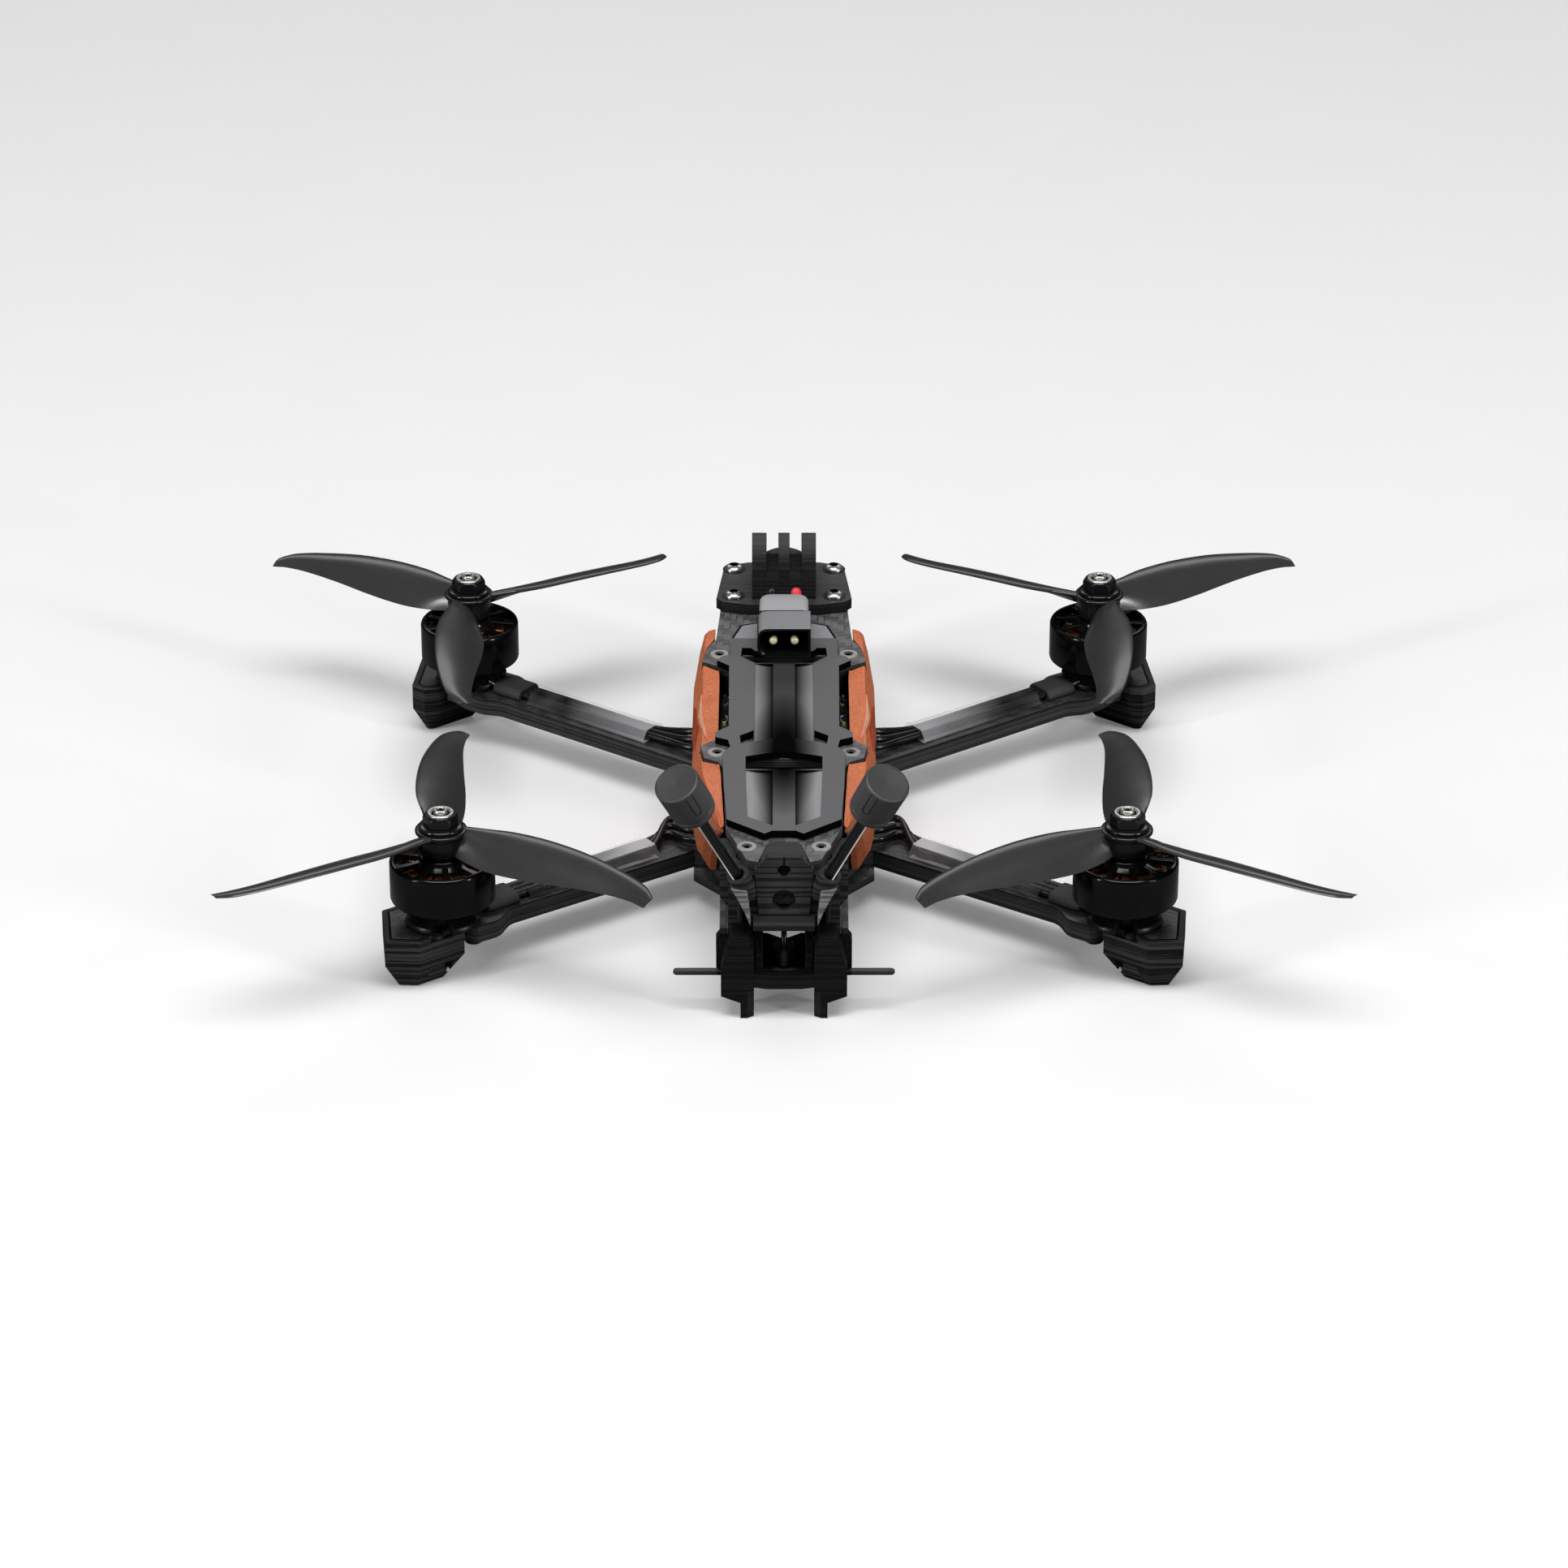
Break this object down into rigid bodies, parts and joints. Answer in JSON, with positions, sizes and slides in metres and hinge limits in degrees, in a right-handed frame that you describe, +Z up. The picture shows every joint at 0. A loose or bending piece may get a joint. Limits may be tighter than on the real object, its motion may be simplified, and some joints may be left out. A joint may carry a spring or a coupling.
{
  "type": "fpv racing drone",
  "caption": "Quadcopter frame with swept three-blade propellers on outrunner motors, a tilting nose camera, tail antennas and a battery pad on top.",
  "frame": {"origin": "underside of the bottom plate, midway between the four motor axes", "axes": "+Z up, +Y forward to the nose camera, +X to the right"},
  "size_m": [0.2978, 0.2322, 0.0798],
  "materials": {
    "carbon": "satin woven carbon fibre, laminated edges",
    "black_print": "printed flexible plastic with fine layer lines",
    "orange_panel": "orange, fine metallic grain",
    "pad_rubber": "matte raised frame over a glossy floor",
    "black_metal": "gloss black anodised",
    "motor_copper": "black base with copper windings",
    "steel": "bright screws and posts",
    "prop_plastic": "satin dark grey moulding",
    "black_plastic": "smooth moulded black",
    "plug_plastic": "dark grey moulded plug",
    "circuit_board": "black solder mask",
    "aluminium": "finned heat sink",
    "red_wire": "silicone insulation",
    "black_wire": "silicone insulation",
    "lens_glass": "black barrel with a coated lens"
  },
  "bodies": {
    "frame": {"bottom_plate": "carbon", "middle_plate": "carbon", "top_plate": "carbon", "battery_pad": "pad_rubber", "action_camera_mount": "black_print", "antenna_mount": "black_print", "rear_bumper": "black_print", "air_unit": "aluminium", "capacitor": "black_plastic", "esc_board": "circuit_board", "flight_controller": "circuit_board", "power_plug": "plug_plastic", "power_lead_black": "black_wire", "power_lead_red": "red_wire", "receiver_antenna": "black_plastic", "side_panel_left": "orange_panel", "camera_plate_left": "black_metal", "video_antenna_left": "black_plastic", "post_front_left": "steel", "post_middle_left": "steel", "post_rear_left": "steel", "side_panel_right": "orange_panel", "camera_plate_right": "black_metal", "video_antenna_right": "black_plastic", "post_front_right": "steel", "post_middle_right": "steel", "post_rear_right": "steel", "arm_front_left": "carbon", "arm_guard_front_left": "black_print", "motor_base_front_left": "motor_copper", "motor_leads_front_left": "black_wire", "arm_front_right": "carbon", "arm_guard_front_right": "black_print", "motor_base_front_right": "motor_copper", "motor_leads_front_right": "black_wire", "arm_rear_left": "carbon", "arm_guard_rear_left": "black_print", "motor_base_rear_left": "motor_copper", "motor_leads_rear_left": "black_wire", "arm_rear_right": "carbon", "arm_guard_rear_right": "black_print", "motor_base_rear_right": "motor_copper", "motor_leads_rear_right": "black_wire"},
    "rotor_front_left": {"motor_bell_front_left": "black_metal", "propeller_front_left": "prop_plastic", "prop_nut_front_left": "black_metal"},
    "rotor_front_right": {"motor_bell_front_right": "black_metal", "propeller_front_right": "prop_plastic", "prop_nut_front_right": "black_metal"},
    "rotor_rear_left": {"motor_bell_rear_left": "black_metal", "propeller_rear_left": "prop_plastic", "prop_nut_rear_left": "black_metal"},
    "rotor_rear_right": {"motor_bell_rear_right": "black_metal", "propeller_rear_right": "prop_plastic", "prop_nut_rear_right": "black_metal"},
    "camera": {"camera_body": "black_plastic", "camera_lens": "lens_glass", "camera_screw_left": "steel", "camera_screw_right": "steel"},
    "button": {"link_button": "black_plastic"}
  },
  "joints": [
    {"name": "spin_front_left", "type": "hinge", "parent": "frame", "child": "rotor_front_left", "pos_m": [-0.0902, 0.0737, 0], "axis": [0, 0, 1], "continuous": true},
    {"name": "spin_front_right", "type": "hinge", "parent": "frame", "child": "rotor_front_right", "pos_m": [0.0902, 0.0737, 0], "axis": [0, 0, 1], "continuous": true},
    {"name": "spin_rear_left", "type": "hinge", "parent": "frame", "child": "rotor_rear_left", "pos_m": [-0.0902, -0.0737, 0], "axis": [0, 0, 1], "continuous": true},
    {"name": "spin_rear_right", "type": "hinge", "parent": "frame", "child": "rotor_rear_right", "pos_m": [0.0902, -0.0737, 0], "axis": [0, 0, 1], "continuous": true},
    {"name": "camera_tilt", "type": "hinge", "parent": "frame", "child": "camera", "pos_m": [0, 0.086, 0.0214], "axis": [1, 0, 0], "range_deg": [-20, 25]},
    {"name": "button_press", "type": "slide", "parent": "frame", "child": "button", "axis": [0, 1, 0], "range_m": [0, 0.0004], "stiffness_N_per_m": 300}
  ]
}
